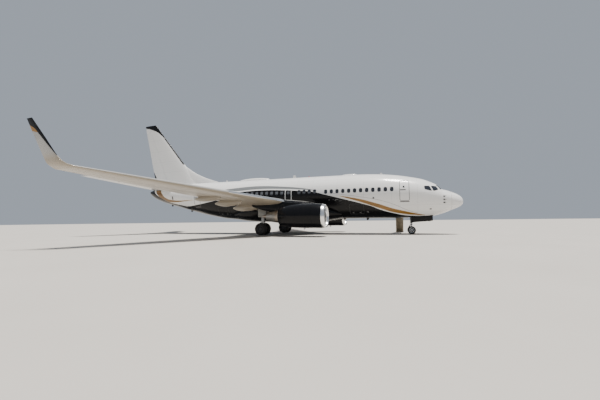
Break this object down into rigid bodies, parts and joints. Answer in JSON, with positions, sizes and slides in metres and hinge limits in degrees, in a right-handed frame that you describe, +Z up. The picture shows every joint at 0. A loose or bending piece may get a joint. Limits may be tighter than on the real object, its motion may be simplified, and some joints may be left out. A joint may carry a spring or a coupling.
{
  "type": "twin-engined airliner-size business jet",
  "caption": "Low-wing business jet of airliner size, parked on its gear with its airstair down; it steers, rolls, spins its fans and moves its control surfaces.",
  "frame": {"origin": "on the ground, below the middle of the aircraft's whole length and span", "axes": "+X to the nose, +Y to port, +Z up"},
  "size_m": [33.63, 35.7974, 12.57],
  "materials": {
    "white_paint": "gloss",
    "black_paint": "gloss",
    "wing_grey": "satin",
    "polished_metal": "polished",
    "exhaust_metal": "heat stained",
    "fan_metal": "satin",
    "gear_paint": "gloss",
    "rim_metal": "satin",
    "tyre_rubber": "matte",
    "dark_frame": "gloss",
    "stair_finish": "satin"
  },
  "bodies": {
    "airframe": {"fuselage": "white_paint", "windscreen_frame": "dark_frame", "belly_fairing": "black_paint", "entry_door": "white_paint", "service_door": "white_paint", "aft_entry_door": "white_paint", "aft_service_door": "white_paint", "cargo_door_forward": "black_paint", "cargo_door_aft": "black_paint", "wing_left": "wing_grey", "wing_right": "wing_grey", "winglet_left": "white_paint", "winglet_right": "white_paint", "flap_inboard_left": "wing_grey", "flap_inboard_right": "wing_grey", "flap_outboard_left": "wing_grey", "flap_outboard_right": "wing_grey", "fin": "white_paint", "stabiliser_left": "wing_grey", "stabiliser_right": "wing_grey", "nacelle_left": "black_paint", "nacelle_right": "black_paint", "inlet_lip_left": "polished_metal", "inlet_lip_right": "polished_metal", "engine_core_left": "exhaust_metal", "engine_core_right": "exhaust_metal", "pylon_left": "black_paint", "pylon_right": "black_paint", "main_leg_left": "gear_paint", "main_leg_right": "gear_paint", "nose_leg_upper": "gear_paint", "nose_gear_door_left": "black_paint", "nose_gear_door_right": "black_paint", "airstair": "stair_finish"},
    "radome": {"radome": "white_paint"},
    "overwing_exit_left": {"overwing_exit_left": "white_paint"},
    "overwing_exit_right": {"overwing_exit_right": "white_paint"},
    "aileron_left": {"aileron_left": "wing_grey"},
    "aileron_right": {"aileron_right": "wing_grey"},
    "elevator_left": {"elevator_left": "wing_grey"},
    "elevator_right": {"elevator_right": "wing_grey"},
    "rudder": {"rudder": "white_paint"},
    "fan_left": {"fan_left": "fan_metal"},
    "fan_right": {"fan_right": "fan_metal"},
    "main_wheels_left": {"main_left_rim_port": "rim_metal", "main_left_tyre_port": "tyre_rubber", "main_left_rim_starboard": "rim_metal", "main_left_tyre_starboard": "tyre_rubber"},
    "main_wheels_right": {"main_right_rim_port": "rim_metal", "main_right_tyre_port": "tyre_rubber", "main_right_rim_starboard": "rim_metal", "main_right_tyre_starboard": "tyre_rubber"},
    "nose_steering": {"nose_leg_lower": "gear_paint"},
    "nose_wheels": {"nose_rim_port": "rim_metal", "nose_tyre_port": "tyre_rubber", "nose_rim_starboard": "rim_metal", "nose_tyre_starboard": "tyre_rubber"}
  },
  "joints": [
    {"name": "nose_steer", "type": "hinge", "parent": "airframe", "child": "nose_steering", "pos_m": [12.735, 0, 0.9], "axis": [0, 0, 1], "range_deg": [-78, 78]},
    {"name": "nose_wheel_spin", "type": "hinge", "parent": "nose_steering", "child": "nose_wheels", "pos_m": [12.735, 0, 0.343], "axis": [0, 1, 0], "continuous": true},
    {"name": "main_wheel_spin_left", "type": "hinge", "parent": "airframe", "child": "main_wheels_left", "pos_m": [0.035, 2.86, 0.555], "axis": [0, 1, 0], "continuous": true},
    {"name": "main_wheel_spin_right", "type": "hinge", "parent": "airframe", "child": "main_wheels_right", "pos_m": [0.035, -2.86, 0.555], "axis": [0, 1, 0], "continuous": true},
    {"name": "fan_spin_left", "type": "hinge", "parent": "airframe", "child": "fan_left", "pos_m": [5.185, 4.83, 1.63], "axis": [1, 0, 0], "continuous": true},
    {"name": "fan_spin_right", "type": "hinge", "parent": "airframe", "child": "fan_right", "pos_m": [5.185, -4.83, 1.63], "axis": [1, 0, 0], "continuous": true},
    {"name": "aileron_left_swing", "type": "hinge", "parent": "airframe", "child": "aileron_left", "pos_m": [-2.96692, 12.2, 3.54258], "axis": [-0.3259, 0.9403, 0.098], "range_deg": [-20, 20]},
    {"name": "aileron_right_swing", "type": "hinge", "parent": "airframe", "child": "aileron_right", "pos_m": [-2.96692, -12.2, 3.54258], "axis": [0.3259, 0.9403, -0.098], "range_deg": [-20, 20]},
    {"name": "elevator_left_swing", "type": "hinge", "parent": "airframe", "child": "elevator_left", "pos_m": [-13.8942, 1.15, 4.97905], "axis": [-0.3937, 0.9123, 0.113], "range_deg": [-18, 22]},
    {"name": "elevator_right_swing", "type": "hinge", "parent": "airframe", "child": "elevator_right", "pos_m": [-13.8942, -1.15, 4.97905], "axis": [0.3937, 0.9123, -0.113], "range_deg": [-18, 22]},
    {"name": "rudder_swing", "type": "hinge", "parent": "airframe", "child": "rudder", "pos_m": [-13.05055, 0, 5.85], "axis": [-0.3987, 0, 0.9171], "range_deg": [-26, 26]},
    {"name": "overwing_exit_left_hinge", "type": "hinge", "parent": "airframe", "child": "overwing_exit_left", "pos_m": [2.105, 1.812, 4.084], "axis": [1, 0, 0], "range_deg": [0, 80]},
    {"name": "overwing_exit_right_hinge", "type": "hinge", "parent": "airframe", "child": "overwing_exit_right", "pos_m": [2.105, -1.812, 4.084], "axis": [-1, 0, 0], "range_deg": [0, 80]},
    {"name": "radome_hinge", "type": "hinge", "parent": "airframe", "child": "radome", "pos_m": [15.829, 0, 3.605], "axis": [0, -1, 0], "range_deg": [0, 60]}
  ],
  "couplings": [
    {"joint": "aileron_right_swing", "follows": "aileron_left_swing", "ratio": -1},
    {"joint": "elevator_right_swing", "follows": "elevator_left_swing", "ratio": 1}
  ]
}
